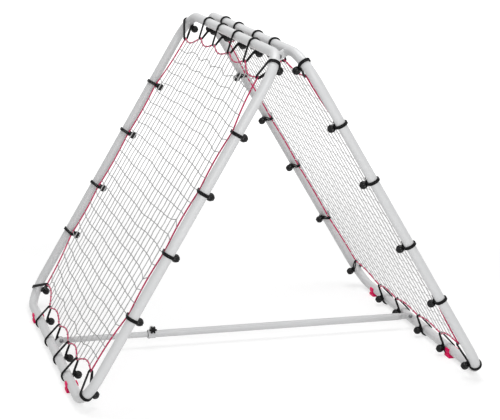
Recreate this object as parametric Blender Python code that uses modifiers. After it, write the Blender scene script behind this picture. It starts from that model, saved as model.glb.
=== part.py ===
# Free-standing two-sided rebounder: two bent-tube panels hinged at the top, each with a
# square-mesh net held by ball bungees, and a telescopic stay bar between their feet.
# Units are metres. X runs across the feet, Y along the hinge, Z up, floor at Z = 0.

import bpy
import bmesh
from math import acos, atan2, cos, hypot, pi, radians, sin
from mathutils import Matrix, Vector

# Panels
PANEL_WIDTH = 1.250           # between the centre lines of the side rails
PANEL_LENGTH = 1.220          # between the centre lines of the top and bottom rails
OPENING_ANGLE = radians(61.0)  # between the two panels as they stand
RAIL_DIAMETER = 0.032
RAIL_BEND_RADIUS = 0.105
RAIL_BEND_STEPS = 6
RAIL_SIDES_RESOLUTION = 4     # gives twelve sides

# Hinges
HINGE_STANDOFF = 0.037        # from a panel's middle plane in to the hinge axis
HINGE_INSET = 0.145           # from a side rail in to the hinge beside it
HINGE_LUG_RADIUS = 0.013
HINGE_LUG_ROOT_RADIUS = 0.012
HINGE_FORK_PLATE = 0.003
HINGE_TONGUE_PLATE = 0.006

# Fasteners
BOLT_DIAMETER = 0.008
BOLT_HEAD_DIAMETER = 0.0145
BOLT_HEAD_HEIGHT = 0.005
NUT_ACROSS_CORNERS = 0.0150
NUT_HEIGHT = 0.0065
HOLE_CLEARANCE = 0.0003       # on the radius

# Stay bar
BAR_PIVOT_RISE = 0.034        # up the panel from the bottom rail's centre
BAR_PIVOT_SETBACK = 0.010     # from the panel's middle plane, inwards
BAR_LUG_RADIUS = 0.011
BAR_CHEEK_PLATE = 0.003
BAR_TONGUE_PLATE = 0.006
BAR_TONGUE_RADIUS = 0.010
BAR_TONGUE_LENGTH = 0.026     # from the pivot to where the swage starts
BAR_SWAGE_LENGTH = 0.022
INNER_TUBE_DIAMETER = 0.020
INNER_TUBE_LENGTH = 0.750     # from its pivot
OUTER_TUBE_DIAMETER = 0.025
OUTER_TUBE_LENGTH = 0.952     # from its pivot
INNER_TUBE_WALL = 0.0015
TELESCOPE_CLEARANCE = 0.0005  # on the radius

# Clamp on the outer tube's open end
CLAMP_LENGTH = 0.026
CLAMP_WALL = 0.0025
CLAMP_FLANGE_LENGTH = 0.007
CLAMP_FLANGE_HEIGHT = 0.0015
CLAMP_EAR_OFFSET = 0.014      # from the tube's end to the screw
CLAMP_EAR_PLATE = 0.004
CLAMP_EAR_RADIUS = 0.007
CLAMP_SLIT = 0.003
CLAMP_SCREW_RISE = 0.021      # from the bar's axis up to the screw's
CLAMP_SCREW_DIAMETER = 0.006
KNOB_TIP_RADIUS = 0.0135
KNOB_VALLEY_RADIUS = 0.0088
KNOB_LOBES = 6
KNOB_THICKNESS = 0.012
KNOB_HUB_RADIUS = 0.0062
KNOB_CLEARANCE = 0.001        # between the star's back and the clamp's flange

# Rubber feet
FOOT_INSET = 0.225            # from a side rail in to the foot beside it
FOOT_CREEP = {"a": 0.0, "b": 0.050}    # how far a panel's feet sit along the rail
FOOT_SOLE_THICKNESS = 0.006
FOOT_SOLE_LENGTH = 0.042
FOOT_SOLE_WIDTH = 0.038
FOOT_SADDLE_WALL = 0.004
FOOT_SADDLE_LENGTH = 0.030
FOOT_TAB_RISE = 0.008         # of the tabs over the rail's centre

# Net and border cord
NET_SIDE_MARGIN = 0.058       # from a side rail's centre to the border cord at a tie
NET_END_MARGIN = 0.060        # the same at the top and bottom rails
NET_CORNER_ACROSS = 0.110     # from a side rail's centre to the net's corner
NET_CORNER_ALONG = 0.087      # from a top or bottom rail's centre to the net's corner
SIDE_SCALLOP = 0.014
END_SCALLOP = 0.020
SCALLOP_POWER = 1.4
BORDER_DIAMETER = 0.0035
BORDER_SPAN_STEPS = (0.0, 0.08, 0.30, 0.50, 0.70, 0.92)
CORNER_FLAT = 0.006           # half the straight bit of border under a corner tie
NET_CORD = 0.002
NET_EDGE_GAP = 0.0006         # between the net's edge and the border cord
NET_TIE_ROOM = 0.011          # from the border to the net's edge at a tie
GAPS_PER_SPAN = 2

# Ball bungees
END_TIE_INSET = 0.200         # from the net's corner to the tie beside it, top and bottom
SIDE_TIE_INSET = 0.200554     # the same on the side rails
SIDE_TIE_SHIFT = 0.010        # of the side ties up the panel
TIES_PER_RAIL = 4
TIE_CORD_DIAMETER = 0.0045
TIE_BALL_DIAMETER = 0.025
TIE_BALL_ALONG = 0.018        # ball's centre from the rail's centre, towards the net
TIE_BALL_SETBACK = 0.029      # ball's centre from the panel's middle plane, inwards
TIE_CORNER_SLACK = 0.0002
TIE_RAIL_STEPS = 4
TIE_EYE_STEPS = 3
CORNER_TIE_ANGLE = radians(45.0)

# The net hangs a little askew: how far each tie sits along its rail from its even place
TIE_CREEP = {
    "a": {"top": (0.011, 0.013, 0.018, 0.011), "right": (-0.012, -0.002, -0.013, 0.002),
          "low": (-0.001, -0.027, -0.026, 0.003), "left": (0.010, 0.019, 0.018, 0.008)},
    "b": {"top": (0.0, 0.0, 0.045, 0.023), "right": (0.017, 0.039, 0.038, 0.012),
          "low": (0.0, 0.020, 0.002, -0.009), "left": (0.004, 0.004, 0.034, 0.029)},
}
# The net's low far corner: its tie's angle round the bend, and the corner's way along and up
LOW_FAR_CORNER = {"a": (radians(30.0), 0.0, 0.010), "b": (radians(30.0), 0.010, 0.026)}

TOUCH_GAP = 0.0003            # between pieces that touch

# Sizes that follow from those above
HALF_ANGLE = OPENING_ANGLE / 2
RAIL_RADIUS = RAIL_DIAMETER / 2
HINGE_SPACING = PANEL_WIDTH - 2 * HINGE_INSET
FOOT_SPACING = PANEL_WIDTH - 2 * FOOT_INSET
END_TIE_PITCH = (PANEL_WIDTH - 2 * (NET_CORNER_ACROSS + END_TIE_INSET)) / (TIES_PER_RAIL - 1)
SIDE_TIE_PITCH = (PANEL_LENGTH - 2 * (NET_CORNER_ALONG + SIDE_TIE_INSET)) / (TIES_PER_RAIL - 1)
SOLE_TO_RAIL = RAIL_RADIUS + TOUCH_GAP + FOOT_SOLE_THICKNESS
HINGE_HEIGHT = SOLE_TO_RAIL + PANEL_LENGTH * cos(HALF_ANGLE) - HINGE_STANDOFF * sin(HALF_ANGLE)
BOLT_HOLE_RADIUS = (BOLT_DIAMETER / 2 + HOLE_CLEARANCE) / cos(pi / 12)
SCREW_HOLE_RADIUS = (CLAMP_SCREW_DIAMETER / 2 + HOLE_CLEARANCE) / cos(pi / 12)
OUTER_BORE_RADIUS = INNER_TUBE_DIAMETER / 2 + TELESCOPE_CLEARANCE
FACE_TO_AXIS_Y = Matrix.Rotation(pi / 2, 4, "X")      # stands a flat outline up in the XZ plane
PANEL_SIDES = {"a": -1, "b": 1}

parts = bpy.data.collections.new("rebounder_net")
cutters = bpy.data.collections.new("cutters")
materials = {}


def clear_scene():
    for thing in list(bpy.data.objects):
        bpy.data.objects.remove(thing, do_unlink=True)


def add_material(name, colour, roughness, metallic=0.0):
    material = bpy.data.materials.new(name)
    material.use_nodes = True
    shader = material.node_tree.nodes["Principled BSDF"]
    shader.inputs["Base Color"].default_value = (*colour, 1.0)
    shader.inputs["Roughness"].default_value = roughness
    shader.inputs["Metallic"].default_value = metallic
    materials[name] = material


def add_empty(name, place, parent=None):
    empty = bpy.data.objects.new(name, None)
    empty.empty_display_size = 0.05
    parts.objects.link(empty)
    empty.parent = parent
    empty.matrix_local = place
    return empty


def add_part(name, mesh, material, parent=None, place=Matrix()):
    thing = bpy.data.objects.new(name, mesh)
    if not mesh.materials:
        mesh.materials.append(materials[material])
    parts.objects.link(thing)
    thing.parent = parent
    thing.matrix_local = place
    return thing


def add_boolean(target, name, mesh, operation, parent=None, place=Matrix()):
    cutter = bpy.data.objects.new(name, mesh)
    cutters.objects.link(cutter)
    cutter.hide_render = True
    cutter.display_type = "WIRE"
    cutter.parent = parent
    cutter.matrix_local = place
    modifier = target.modifiers.new(name, "BOOLEAN")
    modifier.operation = operation
    modifier.object = cutter


def evaluated_mesh(thing):
    # The finished mesh of an object with its curve or modifiers worked out; the object goes.
    bpy.context.view_layer.update()
    graph = bpy.context.evaluated_depsgraph_get()
    mesh = bpy.data.meshes.new_from_object(thing.evaluated_get(graph))
    bpy.data.objects.remove(thing, do_unlink=True)
    welded = bmesh.new()
    welded.from_mesh(mesh)
    bmesh.ops.remove_doubles(welded, verts=welded.verts, dist=0.00001)
    welded.to_mesh(mesh)
    welded.free()
    return mesh


def joined(pieces):
    # One mesh from several (mesh, matrix) pairs, each still a closed body of its own.
    whole = bmesh.new()
    for mesh, place in pieces:
        copy = mesh.copy()
        copy.transform(place)
        whole.from_mesh(copy)
    mesh = bpy.data.meshes.new("joined")
    whole.to_mesh(mesh)
    whole.free()
    return mesh


def smooth(mesh, angle=40.0):
    mesh.shade_smooth()
    mesh.set_sharp_from_angle(angle=radians(angle))
    return mesh


def cylinder(radius, start, end, sides=12, along="Y"):
    # A closed cylinder on the named axis, from start to end along it.
    body = bmesh.new()
    bmesh.ops.create_cone(body, cap_ends=True, segments=sides, radius1=radius,
                          radius2=radius, depth=abs(end - start))
    turn = {"X": Matrix.Rotation(pi / 2, 4, "Y"), "Y": Matrix.Rotation(-pi / 2, 4, "X"),
            "Z": Matrix()}[along]
    middle = {"X": Vector((1, 0, 0)), "Y": Vector((0, 1, 0)), "Z": Vector((0, 0, 1))}[along]
    body.transform(Matrix.Translation(middle * (start + end) / 2) @ turn)
    mesh = bpy.data.meshes.new("cylinder")
    body.to_mesh(mesh)
    body.free()
    return mesh


def box(low, high):
    body = bmesh.new()
    size = Vector(high) - Vector(low)
    bmesh.ops.create_cube(body, size=1.0)
    body.transform(Matrix.Translation((Vector(low) + Vector(high)) / 2) @ Matrix.Diagonal((*size, 1)))
    mesh = bpy.data.meshes.new("box")
    body.to_mesh(mesh)
    body.free()
    return mesh


def curve_object(name, points, cyclic, dimensions):
    curve = bpy.data.curves.new(name, "CURVE")
    curve.dimensions = dimensions
    spline = curve.splines.new("POLY")
    spline.points.add(len(points) - 1)
    for slot, point in zip(spline.points, points):
        slot.co = (*point, 1.0)
    spline.use_cyclic_u = cyclic
    thing = bpy.data.objects.new(name, curve)
    parts.objects.link(thing)
    return thing


def plate(outline, thickness):
    # A flat plate standing in the XZ plane, with its thickness across Y = 0.
    thing = curve_object("plate", [(x, z, 0.0) for x, z in outline], True, "2D")
    thing.data.fill_mode = "BOTH"
    thing.data.extrude = thickness / 2
    mesh = evaluated_mesh(thing)
    mesh.transform(FACE_TO_AXIS_Y)
    return mesh


def tube(points, radius, resolution, cyclic=False):
    thing = curve_object("tube", points, cyclic, "3D")
    thing.data.bevel_depth = radius
    thing.data.bevel_resolution = resolution
    thing.data.use_fill_caps = not cyclic
    return evaluated_mesh(thing)


def two_circle_outline(centre_1, radius_1, centre_2, radius_2, steps=5):
    # The outline of a belt round two circles.
    across = (centre_2[0] - centre_1[0], centre_2[1] - centre_1[1])
    heading = atan2(across[1], across[0])
    lean = acos((radius_1 - radius_2) / hypot(*across))
    points = []
    for centre, radius, first, sweep in (
            (centre_1, radius_1, heading + lean, 2 * pi - 2 * lean),
            (centre_2, radius_2, heading - lean, 2 * lean)):
        for step in range(steps + 1):
            angle = first + sweep * step / steps
            points.append((centre[0] + radius * cos(angle), centre[1] + radius * sin(angle)))
    return points


def lug(pivot, radius, root, root_radius, thickness, y):
    return plate(two_circle_outline(pivot, radius, root, root_radius), thickness), \
        Matrix.Translation((0, y, 0))


def bolt_mesh(grip):
    # A button-head bolt on the Y axis with its nut; the grip lies from -grip/2 to grip/2.
    face = grip / 2 + TOUCH_GAP
    shank = BOLT_DIAMETER / 2
    end = face + NUT_HEIGHT + 0.25 * BOLT_DIAMETER
    head = BOLT_HEAD_DIAMETER / 2
    profile = [(0, -face - BOLT_HEAD_HEIGHT), (0.6 * head, -face - BOLT_HEAD_HEIGHT),
               (head, -face - 0.4 * BOLT_HEAD_HEIGHT), (head, -face), (shank, -face),
               (shank, end), (0, end)]
    mesh = bpy.data.meshes.new("bolt")
    mesh.from_pydata([(r, 0, -height) for r, height in profile],
                     [(n, n + 1) for n in range(len(profile) - 1)], [])
    turned = bpy.data.objects.new("bolt", mesh)
    parts.objects.link(turned)
    screw = turned.modifiers.new("turn", "SCREW")
    screw.steps = 10
    screw.render_steps = 10
    screw.use_merge_vertices = True
    screw.merge_threshold = 0.00001
    body = evaluated_mesh(turned)
    body.transform(Matrix.Rotation(pi / 2, 4, "X"))
    whole = bpy.data.objects.new("bolt", body)
    parts.objects.link(whole)
    nut = cylinder(NUT_ACROSS_CORNERS / 2, face, face + NUT_HEIGHT, sides=6)
    nut_piece = bpy.data.objects.new("nut", nut)
    cutters.objects.link(nut_piece)
    weld = whole.modifiers.new("nut", "BOOLEAN")
    weld.operation = "UNION"
    weld.object = nut_piece
    mesh = evaluated_mesh(whole)
    bpy.data.objects.remove(nut_piece, do_unlink=True)
    return smooth(mesh)


# Panels, in their own axes: origin on the hinge axis, +Z up the panel, +Y along the hinge.
# A panel's outward side is at side * X, with side -1 for panel a and 1 for panel b.

def panel_axes(name, side):
    place = Matrix.Translation((0, 0, HINGE_HEIGHT)) @ Matrix.Rotation(-side * HALF_ANGLE, 4, "Y")
    return add_empty(f"frame_{name}_axes", place)


def rail_path(side):
    # The rail's centre line, once round the panel.
    across = PANEL_WIDTH / 2 - RAIL_BEND_RADIUS
    along = PANEL_LENGTH / 2 - RAIL_BEND_RADIUS
    points = []
    for quarter, (y, z) in enumerate(((across, along), (-across, along),
                                      (-across, -along), (across, -along))):
        for step in range(RAIL_BEND_STEPS + 1):
            angle = (quarter + step / RAIL_BEND_STEPS) * pi / 2
            points.append((side * HINGE_STANDOFF, y + RAIL_BEND_RADIUS * cos(angle),
                           z - PANEL_LENGTH / 2 + RAIL_BEND_RADIUS * sin(angle)))
    return points


def bar_pivot(side):
    # In the panel's axes, as (X, Z).
    return side * (HINGE_STANDOFF - BAR_PIVOT_SETBACK), BAR_PIVOT_RISE - PANEL_LENGTH


def fork_offset(tongue, fork):
    return tongue / 2 + TOUCH_GAP + fork / 2


def build_frame(name, side, axes):
    frame = add_part(f"frame_{name}", smooth(tube(rail_path(side), RAIL_RADIUS,
                     RAIL_SIDES_RESOLUTION, cyclic=True)), "powder_coat", axes)
    rail_x = side * HINGE_STANDOFF
    fork = fork_offset(HINGE_TONGUE_PLATE, HINGE_FORK_PLATE)
    plates = [(-fork, HINGE_FORK_PLATE), (fork, HINGE_FORK_PLATE)] if side < 0 \
        else [(0.0, HINGE_TONGUE_PLATE)]
    welded = []
    holes = []
    for hinge_y in (-HINGE_SPACING / 2, HINGE_SPACING / 2):
        for y, thickness in plates:
            welded.append(lug((0, 0), HINGE_LUG_RADIUS, (rail_x, 0), HINGE_LUG_ROOT_RADIUS,
                              thickness, hinge_y + y))
        reach = fork + HINGE_FORK_PLATE
        holes.append((cylinder(BOLT_HOLE_RADIUS, hinge_y - reach, hinge_y + reach), Matrix()))
    cheek = fork_offset(BAR_TONGUE_PLATE, BAR_CHEEK_PLATE)
    pivot = bar_pivot(side)
    for y in (-cheek, cheek):
        welded.append(lug(pivot, BAR_LUG_RADIUS, (rail_x, -PANEL_LENGTH), BAR_LUG_RADIUS,
                          BAR_CHEEK_PLATE, y))
    reach = cheek + BAR_CHEEK_PLATE
    holes.append((cylinder(BOLT_HOLE_RADIUS, -reach, reach),
                  Matrix.Translation((pivot[0], 0, pivot[1]))))
    add_boolean(frame, f"frame_{name}_lugs", joined(welded), "UNION", axes)
    add_boolean(frame, f"frame_{name}_holes", joined(holes), "DIFFERENCE", axes)


def build_bolts(name, side, axes):
    pivot = bar_pivot(side)
    grip = BAR_TONGUE_PLATE + 2 * TOUCH_GAP + 2 * BAR_CHEEK_PLATE
    add_part(f"bar_bolt_{name}", bolt_mesh(grip), "zinc", axes,
             Matrix.Translation((pivot[0], 0, pivot[1])))
    if side < 0:
        hinge_bolt = bolt_mesh(HINGE_TONGUE_PLATE + 2 * TOUCH_GAP + 2 * HINGE_FORK_PLATE)
        for end, y in (("near", -HINGE_SPACING / 2), ("far", HINGE_SPACING / 2)):
            add_part(f"hinge_bolt_{end}", hinge_bolt, "zinc", axes, Matrix.Translation((0, y, 0)))


def edge_points(name):
    # Where the ties hold a panel's border cord, as four edges of (Y, Z) points from corner to
    # corner, each with the direction in towards the net and its scallop.
    corner_y = PANEL_WIDTH / 2 - NET_CORNER_ACROSS
    corner_top = -NET_CORNER_ALONG
    corner_low = NET_CORNER_ALONG - PANEL_LENGTH
    tie_y = PANEL_WIDTH / 2 - NET_SIDE_MARGIN
    _, across, up = LOW_FAR_CORNER[name]
    low_far = (corner_y + across, corner_low + up)
    steps = [n - (TIES_PER_RAIL - 1) / 2 for n in range(TIES_PER_RAIL)]
    side_middle = SIDE_TIE_SHIFT - PANEL_LENGTH / 2
    creep = TIE_CREEP[name]
    top = [(-corner_y, corner_top),
           *((n * END_TIE_PITCH + off, -NET_END_MARGIN) for n, off in zip(steps, creep["top"])),
           (corner_y, corner_top)]
    right = [(corner_y, corner_top),
             *((tie_y, side_middle - n * SIDE_TIE_PITCH + off)
               for n, off in zip(steps, creep["right"])), low_far]
    low = [low_far,
           *((-n * END_TIE_PITCH + off, NET_END_MARGIN - PANEL_LENGTH)
             for n, off in zip(steps, creep["low"])), (-corner_y, corner_low)]
    left = [(-corner_y, corner_low),
            *((-tie_y, side_middle + n * SIDE_TIE_PITCH + off)
              for n, off in zip(steps, creep["left"])), (-corner_y, corner_top)]
    return {"top": (top, (0, -1), END_SCALLOP), "right": (right, (-1, 0), SIDE_SCALLOP),
            "low": (low, (0, 1), END_SCALLOP), "left": (left, (1, 0), SIDE_SCALLOP)}


def span_point(start, end, share, inward, depth):
    return tuple(start[n] + (end[n] - start[n]) * share + inward[n] * depth for n in (0, 1))


def corner_rail_point(name, corner):
    # The rail's centre where the tie of a net's corner loops round the bend.
    far = corner[0] > 0
    high = corner[1] > -PANEL_LENGTH / 2
    angle = LOW_FAR_CORNER[name][0] if far and not high else CORNER_TIE_ANGLE
    y = PANEL_WIDTH / 2 - RAIL_BEND_RADIUS * (1 - cos(angle))
    drop = RAIL_BEND_RADIUS * (1 - sin(angle))
    return y if far else -y, -drop if high else drop - PANEL_LENGTH


def border_path(name, side):
    points = []
    for spots, inward, scallop in edge_points(name).values():
        for start, end in zip(spots, spots[1:]):
            for share in BORDER_SPAN_STEPS:
                if share == 0.0 and start == spots[0]:
                    pull = Vector(start) - Vector(corner_rail_point(name, start))
                    flat = Vector((-pull.y, pull.x)).normalized() * CORNER_FLAT
                    toward = Vector(end) - Vector(start)
                    ahead = flat if flat.dot(toward) > 0 else -flat
                    points.append(tuple(Vector(start) - ahead))
                    points.append(tuple(Vector(start) + ahead))
                else:
                    depth = scallop * sin(pi * share) ** SCALLOP_POWER
                    points.append(span_point(start, end, share, inward, depth))
    return [(side * HINGE_STANDOFF, y, z) for y, z in points]


def net_edge(name, edge):
    # The net's own edge: in from the border at each tie, and just clear of its scallops.
    spots, inward, scallop = edge_points(name)[edge]
    clear = scallop + (BORDER_DIAMETER + NET_CORD) / 2 + NET_EDGE_GAP
    points = []
    for start, end in zip(spots, spots[1:]):
        for step in range(GAPS_PER_SPAN):
            depth = clear if step else NET_TIE_ROOM
            points.append(span_point(start, end, step / GAPS_PER_SPAN, inward, depth))
    points.append(span_point(spots[-1], spots[-1], 0, inward, NET_TIE_ROOM))
    for n, neighbour in ((0, spots[0]), (-1, spots[-1])):
        sideways = -NET_TIE_ROOM if neighbour[0] > 0 else NET_TIE_ROOM
        upright = -NET_TIE_ROOM if neighbour[1] > -PANEL_LENGTH / 2 else NET_TIE_ROOM
        points[n] = (neighbour[0] + sideways, neighbour[1] + upright)
    return [Vector(point) for point in points]


def net_mesh(name, side):
    # A grid fitted between its four edges; its edges become the cords of the net.
    top = net_edge(name, "top")
    right = net_edge(name, "right")
    low = net_edge(name, "low")[::-1]
    left = net_edge(name, "left")[::-1]
    count = (TIES_PER_RAIL + 1) * GAPS_PER_SPAN
    grid = bmesh.new()
    bmesh.ops.create_grid(grid, x_segments=count, y_segments=count, size=0.5)
    for vertex in grid.verts:
        column = round((vertex.co.x + 0.5) * count)
        row = round((0.5 - vertex.co.y) * count)
        s = column / count
        t = row / count
        point = top[column] * (1 - t) + low[column] * t + left[row] * (1 - s) + right[row] * s
        point -= (top[0] * (1 - s) + top[-1] * s) * (1 - t) + (low[0] * (1 - s) + low[-1] * s) * t
        vertex.co = (side * HINGE_STANDOFF, point.x, point.y)
    mesh = bpy.data.meshes.new("net")
    grid.to_mesh(mesh)
    grid.free()
    return mesh


def build_net(name, side, axes):
    net = add_part(f"net_{name}", net_mesh(name, side), "net_cord", axes)
    wires = net.modifiers.new("cords", "WIREFRAME")
    wires.thickness = NET_CORD
    wires.use_replace = True
    wires.use_boundary = True
    wires.use_even_offset = False
    border = tube(border_path(name, side), BORDER_DIAMETER / 2, 0, cyclic=True)
    add_part(f"border_cord_{name}", border, "border_cord", axes)


# Ties, in their own axes: origin on the rail's centre line, +X towards the net,
# +Y outwards from the panel, the rail along Z.

def arc_points(centre_x, radius, first, last, steps):
    # Points just outside an arc, so that the straight runs between them clear its circle.
    reach = radius / cos((last - first) / steps / 2)
    angles = [first + (last - first) * n / steps for n in range(steps + 1)]
    return [(centre_x + reach * cos(angle), reach * sin(angle), 0.0) for angle in angles]


def tie_mesh(reach, slack=0.0):
    cord = TIE_CORD_DIAMETER / 2
    round_rail = RAIL_RADIUS + cord + TOUCH_GAP + slack
    round_border = BORDER_DIAMETER / 2 + cord + 2 * TOUCH_GAP + slack
    ball = Vector((TIE_BALL_ALONG, -TIE_BALL_SETBACK, 0.0))
    ball_heading = atan2(ball.y, ball.x)
    first = ball_heading - acos(round_rail / ball.length)
    lean = acos((round_rail - round_border) / reach)
    to_ball = ball - Vector((reach, 0, 0))
    last = atan2(to_ball.y, to_ball.x) + acos(round_border / to_ball.length)
    path = [tuple(ball)]
    path += arc_points(0.0, round_rail, first, lean - 2 * pi, TIE_RAIL_STEPS)
    path += arc_points(reach, round_border, lean, last, TIE_EYE_STEPS)
    path.append(tuple(ball + Vector((0.0, 0.25 * TIE_BALL_DIAMETER, 0.0))))
    loop = bpy.data.objects.new("loop", tube(path, cord, 0))
    cutters.objects.link(loop)
    body = bmesh.new()
    bmesh.ops.create_uvsphere(body, u_segments=8, v_segments=5, radius=TIE_BALL_DIAMETER / 2)
    body.transform(Matrix.Translation(ball))
    mesh = bpy.data.meshes.new("ball")
    body.to_mesh(mesh)
    body.free()
    whole = bpy.data.objects.new("tie", mesh)
    parts.objects.link(whole)
    join = whole.modifiers.new("loop", "BOOLEAN")
    join.operation = "UNION"
    join.object = loop
    finished = evaluated_mesh(whole)
    bpy.data.objects.remove(loop, do_unlink=True)
    return smooth(finished, 50.0)


def place_tie(side, rail_point, border_point):
    toward = Vector((0, border_point[0] - rail_point[0], border_point[1] - rail_point[1]))
    toward.normalize()
    outward = Vector((side, 0, 0))
    turn = Matrix((toward, outward, toward.cross(outward))).transposed().to_4x4()
    return Matrix.Translation((side * HINGE_STANDOFF, *rail_point)) @ turn


def build_ties(name, side, axes, meshes):
    for edge, (spots, inward, scallop) in edge_points(name).items():
        margin, mesh = (NET_END_MARGIN, meshes["end"]) if inward[0] == 0 \
            else (NET_SIDE_MARGIN, meshes["side"])
        for number, spot in enumerate(spots[1:-1], start=1):
            rail_point = (spot[0] - inward[0] * margin, spot[1] - inward[1] * margin)
            add_part(f"ball_bungee_{name}_{edge}_{number}", mesh, "bungee", axes,
                     place_tie(side, rail_point, spot))
        rail_point = corner_rail_point(name, spots[0])
        reach = hypot(rail_point[0] - spots[0][0], rail_point[1] - spots[0][1])
        add_part(f"ball_bungee_{name}_corner_{edge}", tie_mesh(reach, TIE_CORNER_SLACK), "bungee",
                 axes, place_tie(side, rail_point, spots[0]))


def foot_mesh():
    # Origin on the rail's centre line, sole level.
    saddle = RAIL_RADIUS + TOUCH_GAP + FOOT_SADDLE_WALL
    foot = bpy.data.objects.new("foot", smooth(cylinder(saddle, -FOOT_SADDLE_LENGTH / 2,
                                                        FOOT_SADDLE_LENGTH / 2, sides=16)))
    parts.objects.link(foot)
    sole = box((-FOOT_SOLE_WIDTH / 2, -FOOT_SOLE_LENGTH / 2, -SOLE_TO_RAIL),
               (FOOT_SOLE_WIDTH / 2, FOOT_SOLE_LENGTH / 2, FOOT_SOLE_THICKNESS / 2 - RAIL_RADIUS))
    rail_room = cylinder((RAIL_RADIUS + TOUCH_GAP) / cos(pi / 16), -FOOT_SOLE_LENGTH,
                         FOOT_SOLE_LENGTH, sides=16)
    above = box((-2 * saddle, -FOOT_SOLE_LENGTH, FOOT_TAB_RISE),
                (2 * saddle, FOOT_SOLE_LENGTH, 3 * saddle))
    helpers = []
    for name, mesh, operation in (("sole", sole, "UNION"), ("rail_room", rail_room, "DIFFERENCE"),
                                  ("above", above, "DIFFERENCE")):
        helper = bpy.data.objects.new(name, mesh)
        cutters.objects.link(helper)
        helpers.append(helper)
        step = foot.modifiers.new(name, "BOOLEAN")
        step.operation = operation
        step.object = helper
    mesh = evaluated_mesh(foot)
    for helper in helpers:
        bpy.data.objects.remove(helper, do_unlink=True)
    return mesh


def build_feet(name, side, axes, mesh):
    upright = Matrix.Rotation(side * HALF_ANGLE, 4, "Y")
    for end, y in (("near", -FOOT_SPACING / 2), ("far", FOOT_SPACING / 2)):
        spot = (side * HINGE_STANDOFF, y + FOOT_CREEP[name], -PANEL_LENGTH)
        place = Matrix.Translation(spot) @ upright
        add_part(f"foot_{name}_{end}", mesh, "red_rubber", axes, place)


# Stay bar, in axes on each tube's own pivot; heading is the way its tube runs along X.

def bar_tube_mesh(radius, bore_radius, length, heading):
    # A tube whose pivot end is swaged flat into a tongue with a bolt hole.
    start = BAR_TONGUE_LENGTH
    full = start + BAR_SWAGE_LENGTH
    body = bmesh.new()
    body.from_mesh(cylinder(radius, heading * start, heading * length, sides=16, along="X"))
    bmesh.ops.bisect_plane(body, geom=body.verts[:] + body.edges[:] + body.faces[:],
                           plane_co=(heading * full, 0, 0), plane_no=(1, 0, 0))
    for vertex in body.verts:
        if abs(vertex.co.x) < (start + full) / 2:
            vertex.co.y *= (BAR_TONGUE_PLATE / 2 + TOUCH_GAP) / radius
            vertex.co.z *= (BAR_TONGUE_RADIUS + TOUCH_GAP) / radius
    mesh = bpy.data.meshes.new("bar")
    body.to_mesh(mesh)
    body.free()
    whole = bpy.data.objects.new("bar", smooth(mesh))
    parts.objects.link(whole)
    tongue = plate(two_circle_outline((0, 0), BAR_TONGUE_RADIUS,
                                      (heading * (start + BAR_SWAGE_LENGTH / 3), 0),
                                      0.8 * BAR_TONGUE_RADIUS), BAR_TONGUE_PLATE)
    bore = cylinder(bore_radius, heading * (full + radius / 2), heading * (length + radius),
                    sides=16, along="X")
    hole = cylinder(BOLT_HOLE_RADIUS, -BAR_TONGUE_PLATE, BAR_TONGUE_PLATE)
    helpers = []
    for name, mesh, operation in (("tongue", tongue, "UNION"), ("bore", bore, "DIFFERENCE"),
                                  ("hole", hole, "DIFFERENCE")):
        helper = bpy.data.objects.new(name, mesh)
        cutters.objects.link(helper)
        helpers.append(helper)
        step = whole.modifiers.new(name, "BOOLEAN")
        step.operation = operation
        step.object = helper
    mesh = evaluated_mesh(whole)
    for helper in helpers:
        bpy.data.objects.remove(helper, do_unlink=True)
    return smooth(mesh)


def build_clamp(axes, end_x):
    # A split ring with two ears on the outer tube's open end; the screw runs along Y.
    ring = OUTER_TUBE_DIAMETER / 2 + CLAMP_WALL
    screw_x = end_x + CLAMP_EAR_OFFSET
    clamp = add_part("clamp_collar", smooth(cylinder(ring, end_x, end_x + CLAMP_LENGTH, sides=20,
                     along="X")), "powder_coat", axes)
    flange = cylinder(ring + CLAMP_FLANGE_HEIGHT, end_x, end_x + CLAMP_FLANGE_LENGTH, sides=20,
                      along="X")
    ears = plate(two_circle_outline((screw_x, CLAMP_SCREW_RISE), CLAMP_EAR_RADIUS,
                                    (screw_x, ring - CLAMP_WALL / 2), CLAMP_EAR_RADIUS - TOUCH_GAP),
                 CLAMP_SLIT + 2 * CLAMP_EAR_PLATE)
    room = (OUTER_TUBE_DIAMETER / 2 + TOUCH_GAP) / cos(pi / 20)
    bore = cylinder(room, end_x - CLAMP_LENGTH, end_x + 2 * CLAMP_LENGTH, sides=20, along="X")
    slit = box((end_x - CLAMP_LENGTH, -CLAMP_SLIT / 2, 0),
               (end_x + 2 * CLAMP_LENGTH, CLAMP_SLIT / 2, 2 * CLAMP_SCREW_RISE))
    hole = cylinder(SCREW_HOLE_RADIUS, -2 * ring, 2 * ring)
    screw_place = Matrix.Translation((screw_x, 0, CLAMP_SCREW_RISE))
    add_boolean(clamp, "clamp_flange", flange, "UNION", axes)
    add_boolean(clamp, "clamp_ears", ears, "UNION", axes)
    add_boolean(clamp, "clamp_bore", bore, "DIFFERENCE", axes)
    add_boolean(clamp, "clamp_slit", slit, "DIFFERENCE", axes)
    add_boolean(clamp, "clamp_hole", hole, "DIFFERENCE", axes, screw_place)
    ear_face = CLAMP_SLIT / 2 + CLAMP_EAR_PLATE + TOUCH_GAP
    nut = add_part("clamp_nut", cylinder(NUT_ACROSS_CORNERS * 0.8 / 2, ear_face,
                   ear_face + NUT_HEIGHT * 0.8, sides=6), "zinc", axes, screw_place)
    add_boolean(nut, "clamp_nut_hole", cylinder(SCREW_HOLE_RADIUS, 0, 3 * ear_face), "DIFFERENCE",
                axes, screw_place)
    build_knob(add_empty("star_knob_axis", screw_place, axes), ear_face)


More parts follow.
